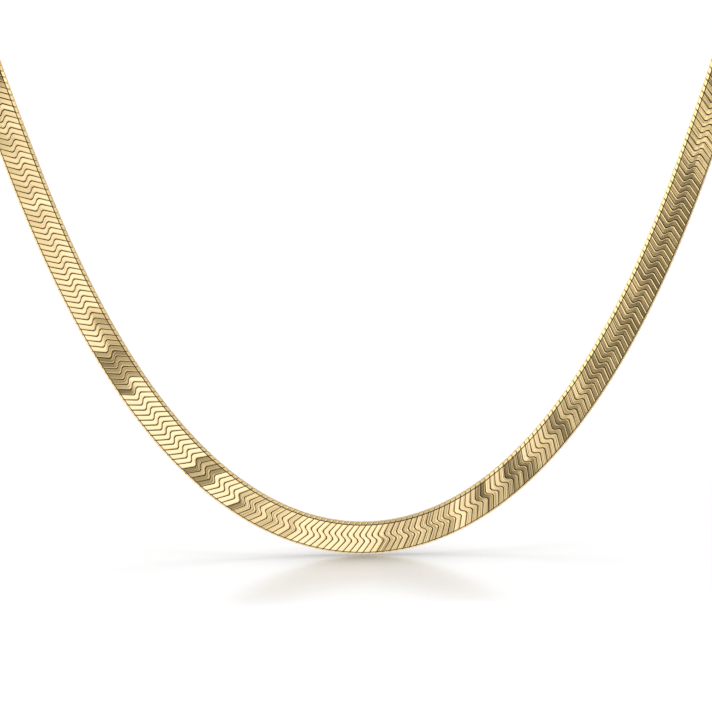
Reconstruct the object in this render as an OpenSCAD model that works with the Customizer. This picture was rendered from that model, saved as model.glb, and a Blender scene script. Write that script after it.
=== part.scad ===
// Flat herringbone chain for the neck, held the way it hangs when it is worn.
// The front hangs in one upright plane, then each side turns back round the neck to the nape.
// X runs to the wearer's left, -Y is forwards, +Z is up. The origin is where the clasp rests on the nape.

/* [Chain] */
// Whole loop along the middle of the chain, with the clasp
chain_length = 457; // [430:1:560]
// Width of the band
band_width = 5; // [3:0.1:7]
// Thickness of the band
band_thick = 1; // [0.7:0.05:1.5]
// Width of the slanting strip along each edge of the band
edge_strip = 0.4; // [0.2:0.05:0.8]
// Length that one link takes up along the band
link_pitch = 0.95; // [0.8:0.05:1.6]
// Links between one groove of the solid band and the next
groove_every = 2; // [2:1:6]
// Depth of a groove between links
groove_depth = 0.12; // [0.04:0.01:0.2]

/* [Hang] */
// Radius of the hanging curve at its lowest point
curve_radius = 28.8; // [26:0.1:34]
// Height over which the front hangs in one upright plane
front_height = 57; // [45:1:65]
// Height of the nape above the lowest point
nape_height = 112; // [100:1:122]
// Lean of the band's face at the nape, upwards from straight back
nape_lean = 20; // [0:1:35]

/* [End caps] */
// Length of a cap along the band
cap_length = 5.5; // [4:0.1:8]
// Sheet thickness of a cap
cap_wall = 0.4; // [0.3:0.05:0.7]
// Gap between the band and the inside of its cap
cap_gap = 0.1; // [0.05:0.01:0.2]
// Thickness of a cap's tab and of the clasp's eye
tab_thick = 0.9; // [0.6:0.05:1.1]
// Solid metal between a cap and the hole in its tab
tab_neck = 0.6; // [0.4:0.1:1.5]

/* [Rings and clasp] */
// Wire of the jump rings
ring_wire = 0.8; // [0.6:0.05:1.1]
// Gap between a ring and the metal that it carries
ring_play = 0.15; // [0.1:0.01:0.25]
// Space left inside a ring between the two pieces that it joins
ring_spare = 0.5; // [0.3:0.1:1.5]
// Metal round each hole that a ring passes
hole_rim = 0.7; // [0.5:0.05:1]
// Length of the clasp from end to end
clasp_length = 11; // [9:0.1:15]
// Width of the clasp at its hook
clasp_width = 5.6; // [4.6:0.1:7.5]
// Thickness of the clasp
clasp_thick = 1.3; // [1:0.05:1.6]
// Width of the metal round the clasp's opening
hook_wall = 1; // [0.8:0.05:1.3]

/* [Hidden] */
gold = [0.84, 0.70, 0.42];

// Zig-zag line of a link across the band: place from the outer edge as a share of the width, and how far the
// line runs ahead along the band, in link pitches
zigzag = [[0, 0], [0.418, 1.57], [0.582, 0.59], [1, 2.16]];
// Share of a groove's spacing at which the link's face is highest
crest_share = 0.3;
// Lengths of the route's handles as shares of the nape's height: where the side leaves the front, its second
// handle along the same line, and where it meets the nape
side_handles = [0.27, 0.55, 0.39];
// Share of a side over which the face turns from forwards to outwards
turn_share = 0.8;
// Share of the depth at which the neck's axis stands
neck_share = 0.5;
route_steps = 120;
round_fn = 48;

// Rings: a plate of thickness t has its hole's wall this far from the ring's middle
ring_inner = ring_play + sqrt(pow((hole_rim + hook_wall + ring_spare) / 2, 2)
    + pow(max(clasp_thick, tab_thick) / 2, 2));
ring_outer = ring_inner + ring_wire;
function seat(t) = sqrt(pow(ring_inner - ring_play, 2) - pow(t / 2, 2));
hole_far = ring_outer + ring_play;
hole_r = (hole_far - seat(tab_thick)) / 2;
hole_at = (hole_far + seat(tab_thick)) / 2;

// Places along the straight stretch at the nape, measured from the middle of the clasp
ring_x = (clasp_length - hook_wall - hole_rim + seat(clasp_thick) + seat(tab_thick)) / 2;
cap_start = ring_x + hole_far + tab_neck;
cap_mouth = cap_start + cap_length;
band_end = cap_start + cap_wall + cap_gap;
straight_half = cap_mouth + 0.5 * band_width;

function unit(v) = v / norm(v);
function smooth(x) = x <= 0 ? 0 : x >= 1 ? 1 : x * x * (3 - 2 * x);
function choose(n, k) = k == 0 ? 1 : choose(n, k - 1) * (n - k + 1) / k;
function add(v, i = 0) = i == len(v) - 1 ? v[i] : v[i] + add(v, i + 1);
function bezier(b, t) = let (n = len(b) - 1)
    add([for (k = [0:n]) choose(n, k) * pow(1 - t, n - k) * pow(t, k) * b[k]]);
function bezier_slope(b, t) = let (n = len(b) - 1)
    bezier([for (k = [0:n - 1]) n * (b[k + 1] - b[k])], t);

// Front: a catenary in the plane y = 0, from its lowest point upwards
front_arc = sqrt(pow(front_height + curve_radius, 2) - pow(curve_radius, 2));
function hang_point(s) = let (u = s / curve_radius)
    [curve_radius * ln(u + sqrt(u * u + 1)), 0, sqrt(pow(curve_radius, 2) + s * s) - curve_radius];
function hang_slope(s) = unit([curve_radius, 0, s]);

// Side: one smooth curve from the front to the nape, whose depth gives the loop its real length
function side_curve(depth) = let (
        start = hang_point(front_arc),
        out = hang_slope(front_arc) * nape_height,
        finish = [straight_half, depth, nape_height])
    [start, start + side_handles[0] * out, start + side_handles[1] * out,
        finish + [side_handles[2] * nape_height, 0, 0], finish];
function side_points(b) = [for (i = [0:route_steps]) bezier(b, i / route_steps)];
function path_length(p) = add([for (i = [1:len(p) - 1]) norm(p[i] - p[i - 1])]);
side_length = chain_length / 2 - front_arc - straight_half;
function solve_depth(low, high, tries) = let (middle = (low + high) / 2)
    tries == 0 ? middle
    : path_length(side_points(side_curve(middle))) < side_length ? solve_depth(middle, high, tries - 1)
    : solve_depth(low, middle, tries - 1);
neck_depth = solve_depth(0, chain_length / 2, 40);
side = side_curve(neck_depth);
side_path = side_points(side);
side_table = [for (i = 0, s = front_arc; i <= route_steps;
    s = s + (i < route_steps ? norm(side_path[i + 1] - side_path[i]) : 0), i = i + 1) [s, i / route_steps]];

// Outward face of the band: forwards in front, then away from the neck's axis and a little upwards
nape_out = [0, cos(nape_lean), sin(nape_lean)];
function face_out(point, slope, t) = let (
        away = unit([max(point[0] - straight_half, 0), point[1] - neck_share * neck_depth, 0]),
        leaning = away * cos(nape_lean) + [0, 0, sin(nape_lean)],
        w = smooth(t / turn_share),
        v = (1 - w) * [0, -1, 0] + w * leaning)
    unit(v - (v * slope) * slope);

// Frame of the band at distance s from the lowest point: its middle, its slope, its outward and inward-edge
// directions. Right-hand side first, then both sides by mirroring
function frame_right(s) = let (
        t = s <= front_arc ? 0 : lookup(s, side_table),
        at_nape = s >= chain_length / 2 - straight_half,
        p = s <= front_arc ? hang_point(s)
            : at_nape ? [chain_length / 2 - s, neck_depth, nape_height] : bezier(side, t),
        d = s <= front_arc ? hang_slope(s) : at_nape ? [-1, 0, 0] : unit(bezier_slope(side, t)),
        n = face_out(p, d, t))
    [p, n, cross(n, d)];
function mirrored(v) = [-v[0], v[1], v[2]];
function band_frame(s) = let (f = frame_right(abs(s)))
    s < 0 ? [mirrored(f[0]), mirrored(f[1]), mirrored(f[2])] : f;
nape_middle = nape_out * clasp_thick / 2;
hang_to_nape = nape_middle - [0, neck_depth, nape_height];
function place(s, across, up) = let (f = band_frame(s)) hang_to_nape + f[0] + across * f[2] + up * f[1];

// Band: rings of points along the route, high on a link's face and low in each groove
band_half = chain_length / 2 - band_end;
groove_count = floor(2 * band_half / (link_pitch * groove_every) / 2) * 2;
groove_pitch = 2 * band_half / groove_count;
ring_places = [for (i = [0:groove_count]) each i == groove_count
    ? [[i * groove_pitch - band_half, false]]
    : [[i * groove_pitch - band_half, false], [(i + crest_share) * groove_pitch - band_half, true]]];
face_places = [for (z = zigzag) [(z[0] - 0.5) * (band_width - 2 * edge_strip), z[1] * link_pitch]];
function slip(s, run) = (run - zigzag[3][1] * link_pitch / 2) * smooth((band_half - abs(s)) / cap_length);
function band_ring(s, high) = let (h = band_thick / 2 - (high ? 0 : groove_depth), last = len(face_places) - 1)
    concat([place(s + slip(s, 0), -band_width / 2, 0)],
        [for (i = [0:last]) place(s + slip(s, face_places[i][1]), face_places[i][0], h)],
        [place(s + slip(s, face_places[last][1]), band_width / 2, 0)],
        [for (i = [last:-1:0]) place(s + slip(s, face_places[i][1]), face_places[i][0], -h)]);

module loft(rings) {
    n = len(rings[0]);
    last = len(rings) - 1;
    polyhedron(
        points = [for (r = rings) each r],
        faces = concat(
            [[for (j = [n - 1:-1:0]) j]],
            [for (i = [0:last - 1]) for (j = [0:n - 1]) each let (k = (j + 1) % n)
                [[i * n + j, (i + 1) * n + k, (i + 1) * n + j], [i * n + j, i * n + k, (i + 1) * n + k]]],
            [[for (j = [0:n - 1]) last * n + j]]));
}

module herringbone_band() {
    color(gold) loft([for (r = ring_places) band_ring(r[0], r[1])]);
}

// Frame of the nape: x along the chain, y outwards from the neck, z across the band
module at_nape() {
    translate(nape_middle) rotate([nape_lean, 0, 0]) children();
}

// Flat bar with bevelled corners, from x = start, open to the band
module bevelled_bar(start, length, width, thick, bevel) {
    w = width / 2;
    t = thick / 2;
    translate([start, 0, 0]) rotate([90, 0, 90]) linear_extrude(height = length)
        polygon([[-t + bevel, -w], [t - bevel, -w], [t, -w + bevel], [t, w - bevel],
            [t - bevel, w], [-t + bevel, w], [-t, w - bevel], [-t, -w + bevel]]);
}

// Flat plate across the nape's y axis
module plate(thick) {
    translate([0, thick / 2, 0]) rotate([90, 0, 0]) linear_extrude(height = thick) children();
}

module end_cap() {
    outer_width = band_width + 2 * (cap_gap + cap_wall);
    outer_thick = band_thick + 2 * (cap_gap + cap_wall);
    hole_x = ring_x + hole_at;
    tab_r = hole_r + hole_rim;
    color(gold) at_nape() difference() {
        union() {
            bevelled_bar(cap_start, cap_length, outer_width, outer_thick, cap_wall / 2);
            plate(tab_thick) translate([hole_x, 0]) circle(r = tab_r, $fn = round_fn);
            plate(tab_thick) translate([hole_x, -tab_r * 0.9])
                square([cap_start + cap_wall / 2 - hole_x, tab_r * 1.8]);
        }
        bevelled_bar(cap_start + cap_wall, cap_length, band_width + 2 * cap_gap, band_thick + 2 * cap_gap,
            cap_gap);
        translate([hole_x, 0, 0]) rotate([90, 0, 0])
            cylinder(r = hole_r, h = 2 * outer_thick, center = true, $fn = round_fn);
    }
}

module jump_ring() {
    color(gold) at_nape() translate([ring_x, 0, 0])
        rotate_extrude($fn = round_fn) translate([ring_inner + ring_wire / 2, 0])
            circle(d = ring_wire, $fn = round_fn);
}

// Two round ends joined by straight sides
module tapered_slot(x1, r1, x2, r2) {
    hull() {
        translate([x1, 0]) circle(r = r1, $fn = round_fn);
        translate([x2, 0]) circle(r = r2, $fn = round_fn);
    }
}

module clasp() {
    hook_end = ring_x - seat(clasp_thick) + hook_wall;
    hook_r = clasp_width / 2;
    hook_middle = hook_end - hook_r;
    eye_x = -(ring_x - hole_at);
    eye_r = hole_r + hole_rim;
    opening_r = hook_r - hook_wall;
    back_r = eye_r * 0.9;
    back_x = eye_x + eye_r + back_r * 0.6;
    gate_r = max(back_r - hook_wall * 0.7, opening_r * 0.35);
    gate_x = back_x + hook_wall;
    color(gold) at_nape() difference() {
        union() {
            plate(clasp_thick) tapered_slot(back_x, back_r, hook_middle, hook_r);
            plate(tab_thick) tapered_slot(eye_x, eye_r, back_x, eye_r * 0.8);
        }
        plate(2 * clasp_thick) tapered_slot(gate_x, gate_r, hook_middle, opening_r);
        translate([eye_x, 0, 0]) rotate([90, 0, 0])
            cylinder(r = hole_r, h = 2 * clasp_thick, center = true, $fn = round_fn);
    }
}

herringbone_band();
end_cap();  // end_cap_left
mirror([1, 0, 0]) end_cap();  // end_cap_right
jump_ring();  // jump_ring_left
mirror([1, 0, 0]) jump_ring();  // jump_ring_right
clasp();
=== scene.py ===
# %% [markdown]
# # A herringbone chain, link by link
#
# A herringbone chain is a flat band of zig-zag links that lie edge to edge, rolled and polished
# until the faces join into one mirror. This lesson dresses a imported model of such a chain, held the
# way it hangs on a neck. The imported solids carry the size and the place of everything, so the first
# step is to load them and to note their box. The finished meshes are in metres, in the same frame:
# X across, -Y towards the viewer, Z up, with the origin on the nape.

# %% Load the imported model
import math

import bmesh
import bpy
import numpy as np
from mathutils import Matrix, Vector


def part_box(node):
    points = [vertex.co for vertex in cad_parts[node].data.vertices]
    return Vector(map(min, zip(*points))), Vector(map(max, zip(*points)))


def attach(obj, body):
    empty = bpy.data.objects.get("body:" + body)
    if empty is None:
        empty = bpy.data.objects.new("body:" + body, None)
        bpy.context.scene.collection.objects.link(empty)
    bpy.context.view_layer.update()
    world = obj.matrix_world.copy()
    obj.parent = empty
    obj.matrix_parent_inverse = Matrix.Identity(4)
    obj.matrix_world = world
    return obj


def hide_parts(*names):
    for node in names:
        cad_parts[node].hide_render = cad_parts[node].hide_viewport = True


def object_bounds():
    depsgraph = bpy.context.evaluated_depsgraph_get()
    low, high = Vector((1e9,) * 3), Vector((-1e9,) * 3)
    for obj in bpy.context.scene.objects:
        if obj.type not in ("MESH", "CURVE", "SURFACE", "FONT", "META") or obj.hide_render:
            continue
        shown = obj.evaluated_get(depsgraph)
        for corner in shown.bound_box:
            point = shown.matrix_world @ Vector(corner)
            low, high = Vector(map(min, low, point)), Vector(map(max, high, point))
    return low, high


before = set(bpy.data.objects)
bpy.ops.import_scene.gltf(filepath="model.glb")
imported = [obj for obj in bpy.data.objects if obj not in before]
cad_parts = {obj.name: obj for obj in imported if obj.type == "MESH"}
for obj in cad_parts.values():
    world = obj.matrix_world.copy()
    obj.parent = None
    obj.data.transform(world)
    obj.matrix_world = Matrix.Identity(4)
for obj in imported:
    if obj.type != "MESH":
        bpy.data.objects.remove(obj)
cad_low, cad_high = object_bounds()
MM = 0.001
print("nodes:", sorted(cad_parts))
print("CAD box in mm:", [round(x / MM, 1) for x in (*cad_low, *cad_high)])

# %% [markdown]
# ## The sizes of the real chain
#
# The band is 5 mm wide and 1 mm thick, and a new link starts every 0.95 mm. All but the gap in a
# seam are the values that the solids were made from, and the mouth of the cap is read from them.
# Lengths are written in millimetres here, because that is how a chain maker gives them, and they
# become metres only when a mesh is built.

# %% Sizes in millimetres
chain_length = 457.0
band_width = 5.0
band_thick = 1.0
link_pitch = 0.95
seam_gap = 0.09
curve_radius = 28.8
front_height = 57.0
nape_height = 112.0
nape_lean = math.radians(20)
clasp_thick = 1.3
cap_length = 5.5
cap_wall = 0.4
cap_gap = 0.1
cap_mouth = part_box("end_cap_left")[1].x / MM
straight_half = cap_mouth + 0.5 * band_width
band_end = cap_mouth - cap_length + cap_wall + cap_gap
band_half = chain_length / 2 - band_end
print("half length of the band:", round(band_half, 2), "mm, cap mouth at", round(cap_mouth, 2), "mm")

# %% [markdown]
# ## The route of the band
#
# A free chain hangs in a catenary, the curve of a hyperbolic cosine. The photographed front is one,
# in an upright plane. It could be traced as a row of points, but the formula gives a truer curve
# from one size, the radius at the lowest point. Each point of the route also needs two directions,
# out of the face and across to the inner edge, because a flat band has to know which way it faces.

# %% The hanging front
def unit(v):
    return v / np.linalg.norm(v)


def hang_point(s):
    u = s / curve_radius
    return np.array([curve_radius * math.asinh(u), 0, math.hypot(curve_radius, s) - curve_radius])


def hang_slope(s):
    return unit(np.array([curve_radius, 0, s]))


front_arc = math.sqrt((front_height + curve_radius) ** 2 - curve_radius**2)
print("the front hangs", round(front_arc, 2), "mm to each side of its lowest point")

# %% [markdown]
# From the height where the band leaves that plane, each side is one smooth Bezier curve back to the
# nape. Its depth isn't chosen: it is found by halving an interval until the whole loop has its real
# length.

# %% The sides, and how deep the neck is
side_handles = (0.27, 0.55, 0.39)
route_steps = 120
halvings = 40


def bezier(points, t):
    n = len(points) - 1
    return sum(math.comb(n, k) * (1 - t) ** (n - k) * t**k * p for k, p in enumerate(points))


def bezier_slope(points, t):
    n = len(points) - 1
    return bezier([n * (points[k + 1] - points[k]) for k in range(n)], t)


def side_curve(depth):
    start = hang_point(front_arc)
    out = hang_slope(front_arc) * nape_height
    finish = np.array([straight_half, depth, nape_height])
    across = np.array([side_handles[2] * nape_height, 0, 0])
    return [start, start + side_handles[0] * out, start + side_handles[1] * out, finish + across, finish]


def side_lengths(points):
    path = np.array([bezier(points, i / route_steps) for i in range(route_steps + 1)])
    return np.concatenate([[0], np.cumsum(np.linalg.norm(np.diff(path, axis=0), axis=1))])


def solve_depth():
    wanted = chain_length / 2 - front_arc - straight_half
    low, high = 0.0, chain_length / 2
    for _ in range(halvings):
        middle = (low + high) / 2
        if side_lengths(side_curve(middle))[-1] < wanted:
            low = middle
        else:
            high = middle
    return (low + high) / 2


neck_depth = solve_depth()
side = side_curve(neck_depth)
side_at = side_lengths(side) + front_arc
print("the nape lies", round(neck_depth, 2), "mm behind the front")

# %% [markdown]
# The face looks forwards in front. Past the front it turns away from the neck's axis and leans up a
# little, as a flat chain does when it lies over the slope of a shoulder. The left side is the right
# side in a mirror.

# %% The band's frame at any distance from its lowest point
turn_share = 0.8
neck_share = 0.5
nape_out = np.array([0, math.cos(nape_lean), math.sin(nape_lean)])
hang_to_nape = nape_out * clasp_thick / 2 - np.array([0, neck_depth, nape_height])


def smooth(x):
    x = min(max(x, 0.0), 1.0)
    return x * x * (3 - 2 * x)


def face_out(point, slope, t):
    away = unit(np.array([max(point[0] - straight_half, 0), point[1] - neck_share * neck_depth, 0]))
    leaning = away * math.cos(nape_lean) + np.array([0, 0, math.sin(nape_lean)])
    w = smooth(t / turn_share)
    v = (1 - w) * np.array([0, -1, 0]) + w * leaning
    return unit(v - v.dot(slope) * slope)


def frame_right(s):
    if s <= front_arc:
        t, point, slope = 0.0, hang_point(s), hang_slope(s)
    elif s >= chain_length / 2 - straight_half:
        t, slope = 1.0, np.array([-1.0, 0, 0])
        point = np.array([chain_length / 2 - s, neck_depth, nape_height])
    else:
        t = float(np.interp(s, side_at, np.linspace(0, 1, route_steps + 1)))
        point, slope = bezier(side, t), unit(bezier_slope(side, t))
    out = face_out(point, slope, t)
    return point, out, np.cross(out, slope)


def band_frame(s):
    point, out, inner = frame_right(abs(s))
    mirror = np.array([-1, 1, 1]) if s < 0 else np.array([1, 1, 1])
    return point * mirror + hang_to_nape, out * mirror, inner * mirror


lowest = band_frame(0)[0]
print("lowest point of the middle line in mm:", lowest.round(2))

# %% [markdown]
# A rolled band is never quite flat: over a few millimetres its links lie back or forwards by up to
# five degrees, like shingles. That is what makes dark and light patches in a polished band, since
# each patch mirrors another part of the room. Chance alone would make patches too, but not where
# the real band has them, so the tilts are given in a table, with a row for each patch. Both arms
# of a link can lie differently, so the patches end along the zig-zag. A positive tilt brings the
# far end of each face forwards.

# %% Small tilts of the faces along the band
face_tilts = [
    # arm, from mm, to mm, tilt in degrees
    ("inner", -96.0, -89.5, -4.4),
    ("outer", -96.0, -89.5, -4.4),
    ("inner", -89.5, -86.5, -2.4),
    ("outer", -89.5, -86.5, -2.4),
    ("inner", -57.0, -51.0, 3.9),
    ("inner", -51.0, -45.0, 4.5),
    ("outer", -50.5, -43.0, 4.4),
    ("inner", -28.8, -25.4, 4.7),
    ("outer", -29.2, -25.4, 4.6),
    ("outer", -20.8, -19.1, 4.4),
    ("inner", -20.8, -10.4, 3.4),
    ("outer", -19.1, -10.4, 3.5),
    ("inner", -10.4, 3.8, 0.6),
    ("outer", -10.4, 2.8, 0.6),
    ("outer", 2.8, 4.8, -1.5),
    ("inner", 3.4, 5.2, -1.3),
    ("inner", 5.2, 14.0, -0.5),
    ("outer", 4.8, 14.0, -0.4),
    ("inner", 14.0, 17.2, 1.2),
    ("outer", 14.0, 17.0, 1.1),
    ("inner", 18.4, 20.6, -2.0),
    ("outer", 17.0, 25.6, -0.2),
    ("inner", 20.6, 24.3, 0.7),
    ("inner", 24.3, 28.0, -1.9),
    ("outer", 25.8, 29.2, -1.6),
    ("inner", 28.2, 33.8, 1.6),
    ("outer", 29.4, 34.0, 1.5),
    ("inner", 34.0, 37.0, -0.5),
    ("outer", 36.5, 41.0, 0.9),
    ("inner", 39.0, 43.0, 1.0),
    ("inner", 43.5, 49.0, -0.8),
    ("inner", 50.0, 71.0, 0.5),
    ("inner", 71.0, 80.4, 0.8),
    ("outer", 71.0, 79.6, 0.7),
    ("inner", 80.4, 86.0, -1.0),
    ("outer", 79.6, 86.0, -1.0),
]
patch_edge = 0.5
# smaller waves all along the band: size in degrees, rate for each mm, and start
ripples = [(0.22, 1.7, 0.4), (0.18, 2.9, 1.9), (0.15, 5.3, 0.0)]
ripple_shift = {"inner": 0.0, "outer": 1.0}


def face_tilt(arm, s):
    shift = ripple_shift[arm]
    total = sum(size * math.sin(rate * s + start + shift) for size, rate, start in ripples)
    for which, low, high, tilt in face_tilts:
        if which == arm:
            inside = smooth((s - low) / patch_edge + 0.5) * smooth((high - s) / patch_edge + 0.5)
            total += tilt * inside
    return math.tan(math.radians(total))


print("tilted patches:", len(face_tilts))

# %% [markdown]
# The route becomes a mesh of points and edges that nothing renders. It carries the two directions
# and the tilts as attributes, which node trees can read at any length along it.

# %% The route as an object
route_step = 0.25
route_s = np.linspace(-band_half, band_half, int(2 * band_half / route_step) + 1)


def put_in_scene(name, data):
    ob = bpy.data.objects.new(name, data)
    bpy.context.collection.objects.link(ob)
    return ob


def route_object():
    rows = [band_frame(s) for s in route_s]
    places = [tuple(p * MM) for p, _, _ in rows]
    mesh = bpy.data.meshes.new("route")
    mesh.from_pydata(places, [(i, i + 1) for i in range(len(places) - 1)], [])
    columns = {
        "face_out": [out for _, out, _ in rows],
        "edge_in": [inner for _, _, inner in rows],
        "tilts": [(face_tilt("outer", s), face_tilt("inner", s), 0) for s in route_s],
    }
    for name, values in columns.items():
        attribute = mesh.attributes.new(name, "FLOAT_VECTOR", "POINT")
        attribute.data.foreach_set("vector", np.array(values, dtype=np.float32).ravel())
    return put_in_scene("route", mesh)


route = route_object()
print("route:", len(route_s), "points,", round(2 * band_half, 1), "mm long")

# %% [markdown]
# ## One link
#
# Each link is a flat zig-zag bar across the whole width: an arm, a short jog back, and a second
# arm. Its line is three straight runs with rounded kinks. A formula with a smooth ramp at each kink
# makes it, so that any place across the width can be asked for.

# %% The zig-zag line
# place across the width as a share, and how far the line runs ahead, in link pitches
zigzag = [(0, 0), (0.418, 1.57), (0.582, 0.59), (1, 2.16)]
kink_round = 0.17


def ramp(x):
    if abs(x) < kink_round:
        return (x + kink_round) ** 2 / (4 * kink_round)
    return max(x, 0.0)


def runs_ahead(w):
    places = [(share - 0.5) * band_width for share, _ in zigzag]
    runs = [run * link_pitch for _, run in zigzag]
    slopes = [(runs[i + 1] - runs[i]) / (places[i + 1] - places[i]) for i in range(3)]
    value = slopes[0] * (w - places[0])
    for i in (1, 2):
        value += (slopes[i] - slopes[i - 1]) * ramp(w - places[i])
    return value - runs[3] / 2


zigzag_run = runs_ahead(band_width / 2) - runs_ahead(-band_width / 2)
print("a link runs", round(zigzag_run, 2), "mm ahead from the outer to the inner edge")

# %% [markdown]
# The ends of a link are filed down and folded round the edges, which shows as a bright strip along
# each edge, parted from the face by a fine line. One link is modelled as a small loft: a row of
# stations across the band, each with the same six corners. Its far edge slopes, so that it catches
# light along each seam, and its near edge is cut back. It has few faces, because it will be
# repeated hundreds of times.

# %% The mesh of one link
near_edge = 0.04
edge_strip = 0.35
far_edge = 0.14
far_drop = 0.055
kink_rounding = 0.03
sharp_degrees = 17
# place across the width, half thickness there, and how much shorter the link is there
outer_stations = [
    (-2.5, 0.18, 0.04),
    (-2.41, 0.33, 0.01),
    (-2.24, 0.44, 0),
    (-2.18, 0.35, 0),
    (-2.12, 0.49, 0),
]
inner_stations = [
    (1.93, 0.49, 0),
    (1.985, 0.27, 0),
    (2.06, 0.46, 0),
    (2.38, 0.26, 0),
    (2.5, 0.12, 0.04),
]
# tucked in are the faces that start at these places, and the two of the six sides that meet a seam;
# these get a painted shade
grooves = (-2.24, -2.18, 1.93, 1.985)
seam_sides = (2, 5)


def kink_stations():
    kink = (zigzag[2][0] - 0.5) * band_width
    places = [side * kink + step * kink_round for side in (-1, 1) for step in (-1, 1)]
    return [(w, band_thick / 2, kink_rounding) for w in places]


def corners_at(w, height, rounding):
    reach = (link_pitch - seam_gap) / 2 - rounding
    near = near_edge - reach if abs(w) < band_width / 2 - edge_strip else -reach
    far = reach - far_edge
    low = height - far_drop
    return [(near, height), (far, height), (reach, low), (reach, -low), (far, -height), (near, -height)]


def loft(shape, rings):
    rows = []
    for a, b in zip(rings, rings[1:]):
        after = list(range(1, len(a))) + [0]
        rows.append([shape.faces.new((a[i], a[j], b[j], b[i])) for i, j in enumerate(after)])
    shape.faces.new(rings[0][::-1])
    shape.faces.new(rings[-1])
    bmesh.ops.recalc_face_normals(shape, faces=shape.faces)
    return rows


def mesh_of(shape, name):
    data = bpy.data.meshes.new(name)
    shape.to_mesh(data)
    shape.free()
    return data


def link_object():
    stations = outer_stations + kink_stations() + inner_stations
    shape = bmesh.new()
    tucked = shape.faces.layers.float.new("tucked")
    unrolled = shape.loops.layers.uv.new("unrolled")
    rings = []
    for w, height, rounding in stations:
        corners = corners_at(w, height, rounding)
        rings.append([shape.verts.new(((runs_ahead(w) + u) * MM, w * MM, n * MM)) for u, n in corners])
    # tucked faces are marked here for the painted shade in the seams and grooves
    for (w, *_), row in zip(stations, loft(shape, rings)):
        for i, face in enumerate(row):
            face[tucked] = 1.0 if i in seam_sides or w in grooves else 0.0
    for face in shape.faces:
        for loop in face.loops:
            x, w = loop.vert.co.x / MM, loop.vert.co.y / MM
            loop[unrolled].uv = ((x - runs_ahead(w)) / link_pitch + 0.5, w / band_width + 0.5)
    data = mesh_of(shape, "one_link")
    data.shade_smooth()
    data.set_sharp_from_angle(angle=math.radians(sharp_degrees))
    return put_in_scene("one_link", data)


links = link_object()
print("one link has", len(links.data.polygons), "faces")

# %% [markdown]
# ## Small helpers for node trees
#
# Geometry and shader trees are built by the same three steps: make a node, set its values, join its
# sockets. A tree is then put on an object as a modifier, and the last helper turns what it makes
# into a plain mesh, because a finished piece is handed over without modifiers.

# %% Node helpers
def add_node(tree, kind, inputs=None, **settings):
    made = tree.nodes.new(kind)
    for name, value in settings.items():
        setattr(made, name, value)
    for name, value in (inputs or {}).items():
        if isinstance(value, bpy.types.NodeSocket):
            tree.links.new(value, made.inputs[name])
        else:
            made.inputs[name].default_value = value
    return made


def geometry_tree(name, inputs):
    tree = bpy.data.node_groups.new(name, "GeometryNodeTree")
    tree.interface.new_socket(name="Geometry", in_out="INPUT", socket_type="NodeSocketGeometry")
    for label, kind in inputs:
        tree.interface.new_socket(name=label, in_out="INPUT", socket_type="NodeSocket" + kind)
    tree.interface.new_socket(name="Geometry", in_out="OUTPUT", socket_type="NodeSocketGeometry")
    return tree, tree.nodes.new("NodeGroupInput").outputs, tree.nodes.new("NodeGroupOutput").inputs


def use_tree(ob, tree, values):
    modifier = ob.modifiers.new(tree.name, "NODES")
    modifier.node_group = tree
    for item in tree.interface.items_tree:
        if item.item_type == "SOCKET" and item.in_out == "INPUT" and item.name in values:
            modifier[item.identifier] = values[item.name]


def finished(ob, name):
    depsgraph = bpy.context.evaluated_depsgraph_get()
    mesh = bpy.data.meshes.new_from_object(ob.evaluated_get(depsgraph), depsgraph=depsgraph)
    bpy.data.objects.remove(ob)
    mesh.name = name
    return put_in_scene(name, mesh)


# %% [markdown]
# ## Bending a straight piece along the route
#
# The whole band is first laid out straight, which is easy, and then bent. For each point, its X is
# a distance along the route, its Y a step towards the inner edge and its Z a step out of the face.
# Sample Curve looks up the place and the two directions there. The same tree bends the links and
# the strip behind their seams.

# %% The bending tree
def look_up(tree, curve, length, name):
    field = add_node(tree, "GeometryNodeInputNamedAttribute", {"Name": name}, data_type="FLOAT_VECTOR")
    sample = add_node(tree, "GeometryNodeSampleCurve", mode="LENGTH", data_type="FLOAT_VECTOR")
    tree.links.new(curve, sample.inputs["Curves"])
    tree.links.new(field.outputs["Attribute"], sample.inputs["Value"])
    tree.links.new(length, sample.inputs["Length"])
    return sample.outputs


def vector_math(tree, operation, first, second):
    made = add_node(tree, "ShaderNodeVectorMath", {0: first}, operation=operation)
    tree.links.new(second, made.inputs["Scale" if operation == "SCALE" else 1])
    return made.outputs[0]


def bending_tree():
    tree, given, out = geometry_tree("Bend Along Route", [("Route", "Object")])
    info = add_node(tree, "GeometryNodeObjectInfo", {"Object": given["Route"]})
    curve = add_node(tree, "GeometryNodeMeshToCurve", {"Mesh": info.outputs["Geometry"]})
    here = add_node(tree, "GeometryNodeInputPosition")
    parts = add_node(tree, "ShaderNodeSeparateXYZ", {"Vector": here.outputs[0]})
    inner = look_up(tree, curve.outputs[0], parts.outputs["X"], "edge_in")
    outwards = look_up(tree, curve.outputs[0], parts.outputs["X"], "face_out")
    across = vector_math(tree, "SCALE", inner["Value"], parts.outputs["Y"])
    up = vector_math(tree, "SCALE", outwards["Value"], parts.outputs["Z"])
    place = vector_math(tree, "ADD", vector_math(tree, "ADD", inner["Position"], across), up)
    moved = add_node(
        tree,
        "GeometryNodeSetPosition",
        {"Geometry": given["Geometry"], "Position": place},
    )
    tree.links.new(moved.outputs[0], out["Geometry"])
    return tree


bend = bending_tree()
print("bending tree has", len(bend.nodes), "nodes")

# %% [markdown]
# ## Many links
#
# A Mesh Line gives one point for each link, and Instance on Points puts a link on each, turned by a
# little chance of its own, because no two links are rolled quite alike. Each remembers its place
# along the band and a chance tone. Instances share one mesh, so the row costs little until it is
# made real.

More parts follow.
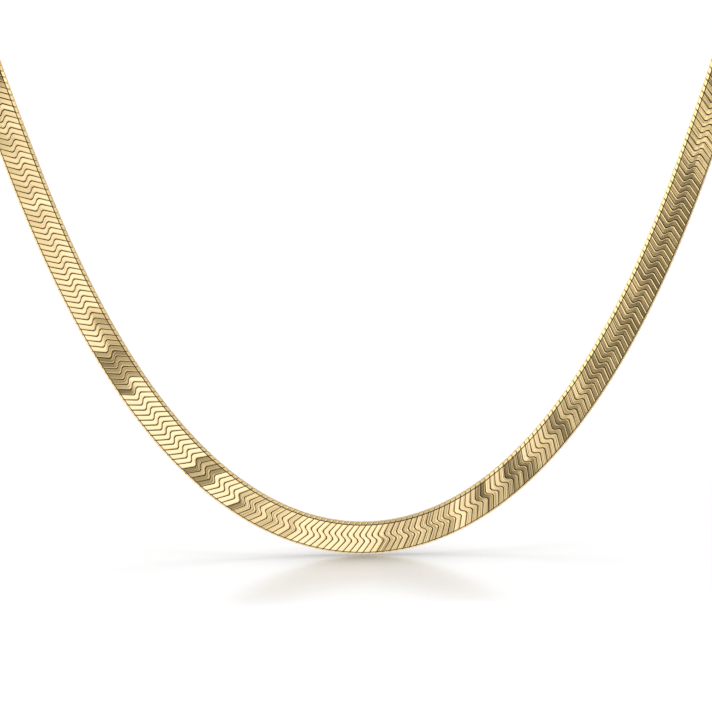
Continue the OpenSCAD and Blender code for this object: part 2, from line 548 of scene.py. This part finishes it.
# %% The link tree: a straight row
wanted = [
    ("Route", "Object"),
    ("Links", "Int"),
    ("Pitch", "Float"),
    ("First", "Float"),
    ("Chance Tilt", "Float"),
    ("Arm Change", "Float"),
    ("Seed", "Int"),
    ("Gold", "Material"),
]
links_along, given, laid_out = geometry_tree("Links Along Route", wanted)


def row_of_links(tree):
    start = add_node(tree, "ShaderNodeCombineXYZ", {"X": given["First"]})
    step = add_node(tree, "ShaderNodeCombineXYZ", {"X": given["Pitch"]})
    row = add_node(
        tree,
        "GeometryNodeMeshLine",
        {"Count": given["Links"], "Start Location": start.outputs[0], "Offset": step.outputs[0]},
        mode="OFFSET",
    )
    here = add_node(tree, "GeometryNodeInputPosition")
    parts = add_node(tree, "ShaderNodeSeparateXYZ", {"Vector": here.outputs[0]})
    chance = add_node(tree, "FunctionNodeRandomValue", {"Seed": given["Seed"]}, data_type="FLOAT_VECTOR")
    # about X and Y alone, because a link can't turn in the plane of its face
    chance.inputs[0].default_value = (-1, -1, 0)
    chance.inputs[1].default_value = (1, 1, 0)
    turned = vector_math(tree, "SCALE", chance.outputs[0], given["Chance Tilt"])
    many = add_node(
        tree,
        "GeometryNodeInstanceOnPoints",
        {"Points": row.outputs[0], "Instance": given["Geometry"], "Rotation": turned},
    )
    tone = add_node(tree, "FunctionNodeRandomValue", {"Seed": given["Seed"]}, data_type="FLOAT")
    shape = many.outputs[0]
    for name, value in (("link_tone", tone.outputs[1]), ("link_at", parts.outputs["X"])):
        stored = add_node(
            tree,
            "GeometryNodeStoreNamedAttribute",
            {"Geometry": shape, "Name": name, "Value": value},
            data_type="FLOAT",
            domain="INSTANCE",
        )
        shape = stored.outputs[0]
    return add_node(tree, "GeometryNodeRealizeInstances", {"Geometry": shape}).outputs[0]


straight_row = row_of_links(links_along)
print("link tree:", len(links_along.nodes), "nodes for the straight row")

# %% [markdown]
# Then every link is sheared by the tilt of the band there: a point moves out of the face in
# proportion to how far ahead of its link's own place it lies, and the two arms read their tilts
# from two columns. A shear, unlike a turn, lets the two arms of one link lie differently and still
# meet at the kinks.

# %% The link tree: the tilts
def tilted(tree, shape):
    info = add_node(tree, "GeometryNodeObjectInfo", {"Object": given["Route"]})
    curve = add_node(tree, "GeometryNodeMeshToCurve", {"Mesh": info.outputs["Geometry"]})
    here = add_node(tree, "GeometryNodeInputPosition")
    parts = add_node(tree, "ShaderNodeSeparateXYZ", {"Vector": here.outputs[0]})
    stored = add_node(tree, "GeometryNodeInputNamedAttribute", {"Name": "link_at"}, data_type="FLOAT")
    link_at = stored.outputs["Attribute"]
    ahead = add_node(tree, "ShaderNodeMath", {0: parts.outputs["X"], 1: link_at}, operation="SUBTRACT")
    tilts = look_up(tree, curve.outputs[0], link_at, "tilts")
    arms = add_node(tree, "ShaderNodeSeparateXYZ", {"Vector": tilts["Value"]})
    back = add_node(tree, "ShaderNodeMath", {0: given["Arm Change"], 1: -1.0}, operation="MULTIPLY")
    arm = add_node(
        tree,
        "ShaderNodeMapRange",
        {
            "Value": parts.outputs["Y"],
            "From Min": back.outputs[0],
            "From Max": given["Arm Change"],
            "To Min": arms.outputs["X"],
            "To Max": arms.outputs["Y"],
        },
    )
    both = {0: arm.outputs[0], 1: ahead.outputs[0]}
    rise = add_node(tree, "ShaderNodeMath", both, operation="MULTIPLY")
    lift = add_node(tree, "ShaderNodeCombineXYZ", {"Z": rise.outputs[0]})
    moved = {"Geometry": shape, "Offset": lift.outputs[0]}
    return add_node(tree, "GeometryNodeSetPosition", moved).outputs[0]


tilted_row = tilted(links_along, straight_row)
print("link tree:", len(links_along.nodes), "nodes with the tilts")

# %% [markdown]
# The bending tree then takes the whole row along the route, as one group, and the gold is set last.

# %% The link tree: the bend and the gold
bent = add_node(links_along, "GeometryNodeGroup", node_tree=bend)
links_along.links.new(tilted_row, bent.inputs["Geometry"])
links_along.links.new(given["Route"], bent.inputs["Route"])
dressed = {"Geometry": bent.outputs[0], "Material": given["Gold"]}
gilded = add_node(links_along, "GeometryNodeSetMaterial", dressed)
links_along.links.new(gilded.outputs[0], laid_out["Geometry"])
print("link tree:", len(links_along.nodes), "nodes in all")

# %% [markdown]
# ## Gold
#
# Polished gold is a metal with a coloured mirror: nearly all it shows is the room. What keeps it
# from looking like paint is small: fine rubbing marks that blur the mirror by changing amounts, and
# a colour that isn't quite even. One shader group makes those marks from a place vector, so each
# material chooses what its marks follow.

# %% Rubbing marks, a group that every gold uses
def shader_group(name, inputs, outputs):
    tree = bpy.data.node_groups.new(name, "ShaderNodeTree")
    for label, value in inputs.items():
        kind = {tuple: "NodeSocketColor", float: "NodeSocketFloat", str: "NodeSocketVector"}[type(value)]
        socket = tree.interface.new_socket(name=label, in_out="INPUT", socket_type=kind)
        if kind != "NodeSocketVector":
            socket.default_value = value
    for label, kind in outputs.items():
        tree.interface.new_socket(name=label, in_out="OUTPUT", socket_type=kind)
    return tree, tree.nodes.new("NodeGroupInput").outputs, tree.nodes.new("NodeGroupOutput").inputs


def mix_colors(tree, share, first, second, blend="MIX"):
    # a Mix node takes its two colours at sockets 6 and 7 and gives the mixed one at 2
    made = add_node(tree, "ShaderNodeMix", data_type="RGBA", blend_type=blend)
    for index, value in ((0, share), (6, first), (7, second)):
        if isinstance(value, bpy.types.NodeSocket):
            tree.links.new(value, made.inputs[index])
        else:
            made.inputs[index].default_value = value
    return made.outputs[2]


# how the fine marks are stretched, and at which product of the two noises the gold is smoothest and
# roughest
marks_stretch = (1, 0.1, 0.4)
fine_scale = 5.0
broad_scale = 0.6
smooth_share = 0.12
rough_share = 0.42


def rubbing_marks():
    inputs = {
        "Place": "vector",
        "Smoothest": 0.1,
        "Roughest": 0.2,
        "Light": (0.9, 0.68, 0.33, 1),
        "Deep": (0.84, 0.6, 0.26, 1),
    }
    outputs = {"Color": "NodeSocketColor", "Roughness": "NodeSocketFloat", "Height": "NodeSocketFloat"}
    tree, given, out = shader_group("Rubbing Marks", inputs, outputs)
    stretch = add_node(tree, "ShaderNodeMapping", {"Vector": given["Place"], "Scale": marks_stretch})
    fine = add_node(
        tree,
        "ShaderNodeTexNoise",
        {"Vector": stretch.outputs[0], "Scale": fine_scale, "Detail": 2.0, "Roughness": 0.5},
    )
    broad = add_node(
        tree,
        "ShaderNodeTexNoise",
        {"Vector": given["Place"], "Scale": broad_scale, "Detail": 2.0},
    )
    both = add_node(
        tree,
        "ShaderNodeMath",
        {0: fine.outputs["Fac"], 1: broad.outputs["Fac"]},
        operation="MULTIPLY",
    )
    rough = add_node(
        tree,
        "ShaderNodeMapRange",
        {"Value": both.outputs[0], "From Min": smooth_share, "From Max": rough_share},
    )
    tree.links.new(given["Smoothest"], rough.inputs["To Min"])
    tree.links.new(given["Roughest"], rough.inputs["To Max"])
    tree.links.new(mix_colors(tree, broad.outputs["Fac"], given["Light"], given["Deep"]), out["Color"])
    tree.links.new(rough.outputs[0], out["Roughness"])
    tree.links.new(fine.outputs["Fac"], out["Height"])
    return tree


marks = rubbing_marks()
print("rubbing marks:", len(marks.nodes), "nodes")

# %% [markdown]
# The caps, rings and clasp take their marks from their own place in space. The links take theirs
# from the flat pattern of one link, so the marks run along its arms, and from the chance tone, so
# that no two links match. Where a face is tucked in, in the seams and grooves, its gold is painted
# dark brown as a painted shade for the shadow in those narrow gaps, and it is also made duller.

# %% Gold materials
# how far apart in the noise two links of different chance tone lie, and how dull a tucked face is
tone_spread = 40.0
tucked_dullness = 0.3


def gold_material(name, light, deep, smoothest, roughest, bump, place=None):
    material = bpy.data.materials.new(name)
    material.use_nodes = True
    tree = material.node_tree
    shader = tree.nodes["Principled BSDF"]
    shader.inputs["Metallic"].default_value = 1.0
    worn = add_node(tree, "ShaderNodeGroup", node_tree=marks)
    if place is None:
        where = add_node(tree, "ShaderNodeTexCoord").outputs["Object"]
        in_mm = add_node(tree, "ShaderNodeVectorMath", {0: where, "Scale": 1 / MM}, operation="SCALE")
        place = in_mm.outputs[0]
    else:
        place = place(tree)
    tree.links.new(place, worn.inputs["Place"])
    worn.inputs["Smoothest"].default_value = smoothest
    worn.inputs["Roughest"].default_value = roughest
    worn.inputs["Light"].default_value = (*light, 1)
    worn.inputs["Deep"].default_value = (*deep, 1)
    tree.links.new(worn.outputs["Color"], shader.inputs["Base Color"])
    tree.links.new(worn.outputs["Roughness"], shader.inputs["Roughness"])
    uneven = add_node(tree, "ShaderNodeBump", {"Strength": 1.0, "Distance": bump * MM})
    tree.links.new(worn.outputs["Height"], uneven.inputs["Height"])
    tree.links.new(uneven.outputs["Normal"], shader.inputs["Normal"])
    return material


def on_the_link(tree):
    flat = add_node(tree, "ShaderNodeUVMap", uv_map="unrolled")
    tone = add_node(tree, "ShaderNodeAttribute", attribute_name="link_tone")
    parts = add_node(tree, "ShaderNodeSeparateXYZ", {"Vector": flat.outputs[0]})
    spread = {0: tone.outputs["Fac"], 1: tone_spread}
    apart = add_node(tree, "ShaderNodeMath", spread, operation="MULTIPLY")
    joined = add_node(
        tree,
        "ShaderNodeCombineXYZ",
        {"X": parts.outputs["X"], "Y": parts.outputs["Y"], "Z": apart.outputs[0]},
    )
    return joined.outputs[0]


# paints tucked faces dark brown, a painted shade for the shadow in seams and grooves, and makes them
# rougher
def paint_seam_shade(material, shade_brown):
    tree = material.node_tree
    shader = tree.nodes["Principled BSDF"]
    tucked = add_node(tree, "ShaderNodeAttribute", attribute_name="tucked").outputs["Fac"]
    polished = shader.inputs["Base Color"].links[0].from_socket
    tree.links.new(mix_colors(tree, tucked, polished, (*shade_brown, 1)), shader.inputs["Base Color"])
    dull = add_node(tree, "ShaderNodeMath", {0: tucked, 1: tucked_dullness}, operation="MULTIPLY")
    both = add_node(tree, "ShaderNodeMath", {0: dull.outputs[0]}, operation="ADD")
    tree.links.new(shader.inputs["Roughness"].links[0].from_socket, both.inputs[1])
    tree.links.new(both.outputs[0], shader.inputs["Roughness"])


# name, light and deep colour, smoothest and roughest, and the height of the marks in mm
link_gold = gold_material(
    "link_gold", (0.94, 0.72, 0.365), (0.91, 0.67, 0.31), 0.05, 0.11, 0.008, place=on_the_link
)
paint_seam_shade(link_gold, shade_brown=(0.16, 0.088, 0.03))
# the strip behind the seams: gold painted dark brown, a painted shade for the depth of the seams
seam_shade_gold = gold_material("seam_shade_gold", (0.20, 0.11, 0.035), (0.10, 0.055, 0.02), 0.35, 0.6, 0.01)
plain_light = (0.92, 0.67, 0.31)
cap_gold = gold_material("cap_gold", plain_light, (0.86, 0.59, 0.24), 0.12, 0.26, 0.006)
ring_gold = gold_material("ring_gold", plain_light, (0.88, 0.62, 0.27), 0.08, 0.2, 0.001)
clasp_gold = gold_material("clasp_gold", plain_light, (0.86, 0.59, 0.24), 0.1, 0.24, 0.006)
print("materials:", [m.name for m in bpy.data.materials])

# %% [markdown]
# Now the tree is given its route, its sizes and its seed, and the result becomes one plain mesh.

# %% Lay out the links
# link pitches left free at both ends together, chance turn of a link, and how far from the middle of the
# band the tilt of one arm gives way to the other's
free_pitches = 2.2
chance_degrees = 0.4
arm_change = 0.35
link_seed = 7
link_count = int(2 * band_half / link_pitch - free_pitches)
first_link = (2 * band_half - (link_count - 1) * link_pitch) / 2
use_tree(
    links,
    links_along,
    {
        "Route": route,
        "Links": link_count,
        "Pitch": link_pitch * MM,
        "First": first_link * MM,
        "Chance Tilt": math.radians(chance_degrees),
        "Arm Change": arm_change * MM,
        "Seed": link_seed,
        "Gold": link_gold,
    },
)
links = finished(links, "chain_links")
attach(links, "root")
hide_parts("herringbone_band")
print(link_count, "links,", len(links.data.polygons), "faces")

# %% [markdown]
# ## The dark behind the seams
#
# In a real chain the links hook into one another, so no light comes through the seams. A thin strip
# inside the band does the same here: it blocks the light, and its gold is painted dark brown as a
# painted shade for the depth of the seams. It is a straight box in many slices, bent by the same tree.

# %% The strip inside the band
strip_half_width = 2.36
strip_half_thick = 0.16
strip_slices = 600


def straight_strip(name, half_width, half_thick, length, slices):
    shape = bmesh.new()
    corners = [(-1, -1), (1, -1), (1, 1), (-1, 1)]
    rings = []
    for x in np.linspace(0, length, slices + 1):
        places = [(x * MM, a * half_width * MM, b * half_thick * MM) for a, b in corners]
        rings.append([shape.verts.new(place) for place in places])
    loft(shape, rings)
    data = mesh_of(shape, name)
    data.materials.append(seam_shade_gold)
    return put_in_scene(name, data)


strip = straight_strip("seam_strip", strip_half_width, strip_half_thick, 2 * band_half, strip_slices)
use_tree(strip, bend, {"Route": route})
strip = finished(strip, "seam_strip")
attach(strip, "root")
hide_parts("herringbone_band")
bpy.data.objects.remove(route)
print("strip:", len(strip.data.polygons), "faces")

# %% [markdown]
# ## Caps, rings and clasp
#
# These solids already have their true shape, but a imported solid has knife-sharp edges, and a real
# cap is folded sheet with soft ones. So a copy of each solid's mesh is merged, its flat faces are
# joined, and a small bevel rounds the edges. The rings are round wire and need no bevel. The copy
# then stands for the solid.

# %% Soft-edged copies of the solid pieces
cap_bevel = 0.12
clasp_bevel = 0.3
# two faces nearer than this in angle are one flat face, and an edge past this angle gets a bevel
flat_degrees = 1
edge_degrees = 35
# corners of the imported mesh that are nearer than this, in metres, are one corner
same_place = 1e-6


def soft_copy(node, name, material, width, segments=3):
    shape = bmesh.new()
    shape.from_mesh(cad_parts[node].data)
    bmesh.ops.remove_doubles(shape, verts=shape.verts, dist=same_place)
    flat = math.radians(flat_degrees)
    bmesh.ops.dissolve_limit(shape, angle_limit=flat, verts=shape.verts, edges=shape.edges)
    data = mesh_of(shape, name)
    data.materials.clear()
    data.materials.append(material)
    data.shade_smooth()
    ob = put_in_scene(name, data)
    if width:
        soft = ob.modifiers.new("Soft Edges", "BEVEL")
        soft.width = width * MM
        soft.segments = segments
        soft.limit_method = "ANGLE"
        soft.angle_limit = math.radians(edge_degrees)
        soft.use_clamp_overlap = True
        soft.harden_normals = True
    even = ob.modifiers.new("Flat Faces", "WEIGHTED_NORMAL")
    even.mode = "FACE_AREA"
    ob = finished(ob, name)
    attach(ob, "root")
    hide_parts(node)
    print(name, "has", len(ob.data.polygons), "faces")


for side_name in ("left", "right"):
    soft_copy("end_cap_" + side_name, "cap_" + side_name, cap_gold, cap_bevel)
    soft_copy("jump_ring_" + side_name, "ring_" + side_name, ring_gold, 0)
soft_copy("clasp", "plain_clasp", clasp_gold, clasp_bevel, segments=4)

# %% [markdown]
# ## Camera
#
# The photograph looks straight at the hanging front from a few degrees above the table, with a long
# lens, so the band keeps its width from the bottom to the top of the picture. The camera is set
# from a few measured facts: how wide the picture is at the chain, where its middle falls, and how
# much the picture leans.

# %% The camera at the photograph's angle
picture_width = 107.9
camera_distance = 450.0
camera_above = math.radians(6)
camera_roll = math.radians(-0.92)
middle_of_picture = lowest + np.array([-0.95, 0, 27.87])

camera_data = bpy.data.cameras.new("camera")
camera = put_in_scene("camera", camera_data)
camera_data.sensor_width = 36
camera_data.lens = camera_data.sensor_width * camera_distance / picture_width
camera_data.clip_start = 0.01
camera_data.clip_end = 10
towards = np.array([0, -math.cos(camera_above), math.sin(camera_above)])
camera.location = (middle_of_picture + camera_distance * towards) * MM
camera.rotation_euler = Vector(-towards).to_track_quat("-Z", "Y").to_euler()
camera.rotation_euler.rotate_axis("Z", camera_roll)
bpy.context.scene.camera = camera
print("lens", round(camera_data.lens, 1), "mm")

# %% [markdown]
# ## Floor, room and light
#
# A white polished floor lies just under the lowest link. Its polish fades towards the viewer, so
# that only the lowest links show in it, and a soft painted shadow darkens its white round the
# place that the chain nearly touches, where a table loses light. Both follow the floor's own
# place, so they stay where they are from any side. The floor isn't seen in mirrors, so the band
# mirrors the room alone.

# %% Floor
floor_gap = 0.12
floor_z = cad_low.z - floor_gap * MM
floor_white = (0.83, 0.83, 0.835, 1)
floor_roughness = 0.19
floor_ior = 1.6
# half width, front edge and back edge in metres
floor_half, floor_front, floor_back = 6, -2, 30
# the painted shadow round the lowest link: half width, half depth, how dark its middle is, and its
# falloff
painted_shadow_width = 34.0
painted_shadow_depth = 20.0
painted_shadow_strength = 0.75
painted_shadow_falloff = 3.0
# how the polish fades forwards: from its most, to none, in mm before the chain
polish_from = 6.0
polish_to = 42.0
polish_most = 0.62


def floor_object():
    data = bpy.data.meshes.new("floor")
    xs = (-floor_half, floor_half, floor_half, -floor_half)
    ys = (floor_front, floor_front, floor_back, floor_back)
    data.from_pydata([(x, y, floor_z) for x, y in zip(xs, ys)], [], [(0, 1, 2, 3)])
    data.materials.append(floor_material())
    ob = put_in_scene("floor", data)
    ob.visible_glossy = False


def floor_material():
    material = bpy.data.materials.new("floor_white")
    material.use_nodes = True
    tree = material.node_tree
    shader = tree.nodes["Principled BSDF"]
    shader.inputs["Roughness"].default_value = floor_roughness
    shader.inputs["IOR"].default_value = floor_ior
    place = add_node(tree, "ShaderNodeTexCoord").outputs["Object"]
    # a painted shadow: the floor's white is mixed towards black, most under the lowest link
    chain_at = add_node(tree, "ShaderNodeCombineXYZ", {"Y": lowest[1] * MM, "Z": floor_z})
    apart = vector_math(tree, "SUBTRACT", place, chain_at.outputs[0])
    shares = {"X": 1 / (painted_shadow_width * MM), "Y": 1 / (painted_shadow_depth * MM)}
    shrink = add_node(tree, "ShaderNodeCombineXYZ", shares)
    share = vector_math(tree, "MULTIPLY", apart, shrink.outputs[0])
    away = add_node(tree, "ShaderNodeVectorMath", {0: share}, operation="LENGTH").outputs["Value"]
    inside = add_node(tree, "ShaderNodeMath", {0: 1.0, 1: away}, operation="SUBTRACT", use_clamp=True)
    falling = {0: inside.outputs[0], 1: painted_shadow_falloff}
    soft = add_node(tree, "ShaderNodeMath", falling, operation="POWER")
    darkness = {0: soft.outputs[0], 1: painted_shadow_strength}
    dark = add_node(tree, "ShaderNodeMath", darkness, operation="MULTIPLY")
    white = mix_colors(tree, dark.outputs[0], floor_white, (0, 0, 0, 1))
    tree.links.new(white, shader.inputs["Base Color"])
    parts = add_node(tree, "ShaderNodeSeparateXYZ", {"Vector": apart})
    fade = {
        "Value": parts.outputs["Y"],
        "From Min": -polish_to * MM,
        "From Max": -polish_from * MM,
        "To Min": 0.0,
        "To Max": polish_most,
    }
    polish = add_node(tree, "ShaderNodeMapRange", fade, interpolation_type="SMOOTHSTEP")
    tree.links.new(polish.outputs[0], shader.inputs["Specular IOR Level"])
    return material


floor_object()
print("floor at", round(floor_z / MM, 2), "mm")

# %% [markdown]
# A polished chain is lit by what it mirrors, so the room matters most. It is a white tent,
# brightest in a soft window beside the camera and dark in a ring round that window. The faces in
# front mirror the window on the left and its dark surround on the right. The room could be real
# walls and cards, but a world shader does the same with no geometry. It knows only the direction in
# which a mirrored ray leaves, so everything is placed by two angles: its turn to the right of
# straight ahead of the chain, and its rise.

# %% The room's two angles
world = bpy.data.worlds.new("room")
world.use_nodes = True
bpy.context.scene.world = world
room = world.node_tree


def room_math(operation, first, second=None):
    made = add_node(room, "ShaderNodeMath", operation=operation)
    for index, value in enumerate((first, second)):
        if isinstance(value, bpy.types.NodeSocket):
            room.links.new(value, made.inputs[index])
        elif value is not None:
            made.inputs[index].default_value = value
    return made.outputs[0]


leaving = add_node(room, "ShaderNodeTexCoord").outputs["Generated"]
direction = add_node(room, "ShaderNodeSeparateXYZ", {"Vector": leaving}).outputs
ahead = room_math("MULTIPLY", direction["Y"], -1.0)
room_turn = room_math("DEGREES", room_math("ARCTAN2", direction["X"], ahead))
room_rise = room_math("DEGREES", room_math("ARCSINE", direction["Z"]))
print("room:", len(room.nodes), "nodes for the two angles")

# %% [markdown]
# The window is a colour ramp over the angle from its middle, with heights counted less than widths.
# Where it is brightest it is also a little cooler, as daylight is.

# %% The window beside the camera
room_brightness = 1.7
window_turn = -3.2
window_rise = -7.5
height_weight = 0.45
ramp_degrees = 60.0
# degrees from the middle of the window, and brightness
room_ramp = [(0, 1.38), (2.6, 1.34), (4.6, 1.06), (6.2, 0.66), (7.8, 0.27), (9.5, 0.17), (12, 0.165)]
room_ramp += [(17, 0.18), (24, 0.8), (45, 1.0)]
# what red, green and blue gain for each unit of brightness above 1
cool_tint = (0.0, 0.12, 0.85)


def window_light():
    turn_away = room_math("SUBTRACT", room_turn, window_turn)
    rise_away = room_math("MULTIPLY", room_math("SUBTRACT", room_rise, window_rise), height_weight)
    squares = [room_math("POWER", away, 2.0) for away in (turn_away, rise_away)]
    away = room_math("DIVIDE", room_math("SQRT", room_math("ADD", *squares)), ramp_degrees)
    tones = add_node(room, "ShaderNodeValToRGB", {"Fac": away})
    stops = tones.color_ramp.elements
    while len(stops) < len(room_ramp):
        stops.new(0.5)
    for stop, (degrees, value) in zip(stops, room_ramp):
        stop.position = degrees / ramp_degrees
        level = value / room_brightness
        cool = max(0.0, value - 1)
        stop.color = (*(level * (1 + tint * cool) for tint in cool_tint), 1)
    return tones.outputs["Color"]


room_color = window_light()
print("the window's ramp has", len(room_ramp), "stops")

# %% [markdown]
# Then the tent gets what a photographer hangs in it. It is brighter far to the left, and dimmer far
# to the right and high up, which the strip along the inner edge mirrors. A second small window
# shows in the top of the right side. A lamp glints on the far edge of each link there. A grey card
# above the window shows only in the floor, and another behind and above keeps the caps and the
# clasp from mirroring plain white.

# %% What hangs in the tent
# part of the direction, where the tent starts to change, where it has changed, and its brightness there
tent_sides = [("X", 0.4, 0.85, 0.68), ("X", -0.6, -0.8, 1.25), ("Z", 0.6, 0.9, 0.62)]
# where each edge of the second window starts and ends, in degrees
second_left, second_right = (5.9, 6.4), (9.3, 10.1)
second_low, second_top = (-2.7, -2.3), (5.0, 7.0)
second_brightness = 1.2
# middle and half size as turn and rise, where the edge starts and ends, and brightness
glint_lamp = ((46.0, 14.0), (9.0, 12.0), (0.6, 1.3), 1.5)
card_above = ((0.0, 17.0), (22.0, 10.0), (0.8, 1.1), 0.45)
card_behind = ((0.0, 42.0), (75.0, 24.0), (0.0, 1.1), 0.4)


def fading(value, start, end, first=0.0, last=1.0, soft=False):
    ends = {"Value": value, "From Min": start, "From Max": end, "To Min": first, "To Max": last}
    shape = "SMOOTHSTEP" if soft else "LINEAR"
    return add_node(room, "ShaderNodeMapRange", ends, interpolation_type=shape).outputs[0]


def second_window():
    left = fading(room_turn, *second_left, soft=True)
    right = fading(room_turn, *second_right, 1.0, 0.0)
    low = fading(room_rise, *second_low, soft=True)
    top = fading(room_rise, *second_top, 1.0, 0.0)
    wide = room_math("MULTIPLY", left, right)
    return room_math("MULTIPLY", wide, room_math("MULTIPLY", low, top))


def oval(turn, place, size, edge):
    squares = []
    for angle, middle, half in zip((turn, room_rise), place, size):
        share = room_math("DIVIDE", room_math("SUBTRACT", angle, middle), half)
        squares.append(room_math("POWER", share, 2.0))
    return fading(room_math("ADD", *squares), *edge, 1.0, 0.0)


def hang(color, share, brightness):
    level = brightness / room_brightness
    return mix_colors(room, share, color, (level, level, level, 1))


for part, start, end, brightness in tent_sides:
    side_light = fading(direction[part], start, end, 1.0, brightness)
    room_color = mix_colors(room, 1.0, room_color, side_light, "MULTIPLY")
room_color = hang(room_color, second_window(), second_brightness)
behind = room_math("SUBTRACT", 180.0, room_math("ABSOLUTE", room_turn))
for turn, form in ((room_turn, glint_lamp), (room_turn, card_above), (behind, card_behind)):
    place, size, edge, brightness = form
    room_color = hang(room_color, oval(turn, place, size, edge), brightness)
print("room:", len(room.nodes), "nodes with all that hangs in it")

# %% [markdown]
# Mirrors see all of that. The camera itself sees an even white behind the chain, as in the
# photograph, and dull surfaces get a weak, even light, because the lamps below light the floor.

# %% What the camera and the floor see of the room
backdrop_brightness = 1.02
floor_light = 0.35
seen_by = add_node(room, "ShaderNodeLightPath").outputs
room_color = hang(room_color, seen_by["Is Camera Ray"], backdrop_brightness)
room_color = hang(room_color, seen_by["Is Diffuse Ray"], floor_light)
background = room.nodes["Background"]
room.links.new(room_color, background.inputs["Color"])
background.inputs["Strength"].default_value = room_brightness
print("room:", len(room.nodes), "nodes, of brightness", room_brightness)

# %% [markdown]
# Three soft suns stand for the lamps of the tent. They light the floor evenly, however far away it
# is. The two behind and above give the soft shadow under the lowest links. They aren't mirrored,
# because the room's own brightness already stands for them. The weak one on the left glints on the
# strip along the inner edge. The Standard view shows the picture without a film curve, so that the
# backdrop stays white.

# %% Soft lamps
def lamp(name, turn, rise, spread, power, mirrored):
    data = bpy.data.lights.new(name, "SUN")
    data.angle = math.radians(spread)
    data.energy = power
    ob = put_in_scene(name, data)
    turn, rise = math.radians(turn), math.radians(rise)
    level = math.cos(rise)
    come_from = Vector((level * math.sin(turn), -level * math.cos(turn), math.sin(rise)))
    ob.rotation_euler = come_from.to_track_quat("Z", "Y").to_euler()
    ob.visible_glossy = mirrored
    print("lamp", name, "of power", power)


# name, then turn, rise and spread in degrees, then power, and whether mirrors show it
lamp("above", 180, 88, 50, 2.2, False)
lamp("behind", 180, 55, 60, 0.7, False)
lamp("side", -58, 22, 40, 0.12, True)
bpy.context.scene.view_settings.view_transform = "Standard"
